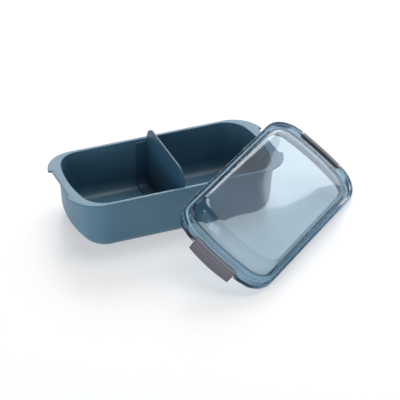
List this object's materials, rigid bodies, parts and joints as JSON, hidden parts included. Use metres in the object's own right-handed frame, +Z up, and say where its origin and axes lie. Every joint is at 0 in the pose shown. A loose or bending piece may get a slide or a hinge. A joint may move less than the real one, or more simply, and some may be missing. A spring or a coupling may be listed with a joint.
{
  "type": "lunch box",
  "caption": "Two-compartment slate-blue plastic lunch box with a removable divider; clear domed lid with end clips leans on the open box.",
  "frame": {"origin": "middle of the flat underside of the container, on the table", "axes": "+X along the length of the container towards the end the lid leans on, +Z up, so the lid leans on the side that faces -Y"},
  "size_m": [0.2797, 0.2057, 0.0649],
  "materials": {
    "box_plastic": "fine matte moulded",
    "divider_plastic": "fine matte moulded",
    "clear_lid": "polished, clear smoke-blue tint",
    "gasket": "smooth silicone",
    "clip_plastic": "satin"
  },
  "bodies": {
    "box": {"container": "box_plastic"},
    "divider": {"divider": "divider_plastic"},
    "lid": {"lid_shell": "clear_lid", "lid_gasket": "gasket"},
    "clip_near": {"clip_near": "clip_plastic"},
    "clip_far": {"clip_far": "clip_plastic"}
  },
  "joints": [
    {"name": "divider_lift", "type": "slide", "parent": "box", "child": "divider", "axis": [0, 0, 1], "range_m": [0, 0.075]},
    {"name": "lid_lift", "type": "slide", "parent": "box", "child": "lid", "axis": [0, 0, 1], "range_m": [0, 0.12]},
    {"name": "clip_near_hinge", "type": "hinge", "parent": "lid", "child": "clip_near", "pos_m": [-0.00698, -0.13104, 0.02912], "axis": [-0.5283, 0.6689, 0.5229], "range_deg": [0, 100]},
    {"name": "clip_far_hinge", "type": "hinge", "parent": "lid", "child": "clip_far", "pos_m": [0.15468, -0.00336, 0.02912], "axis": [0.5283, -0.6689, -0.5229], "range_deg": [0, 100]}
  ]
}
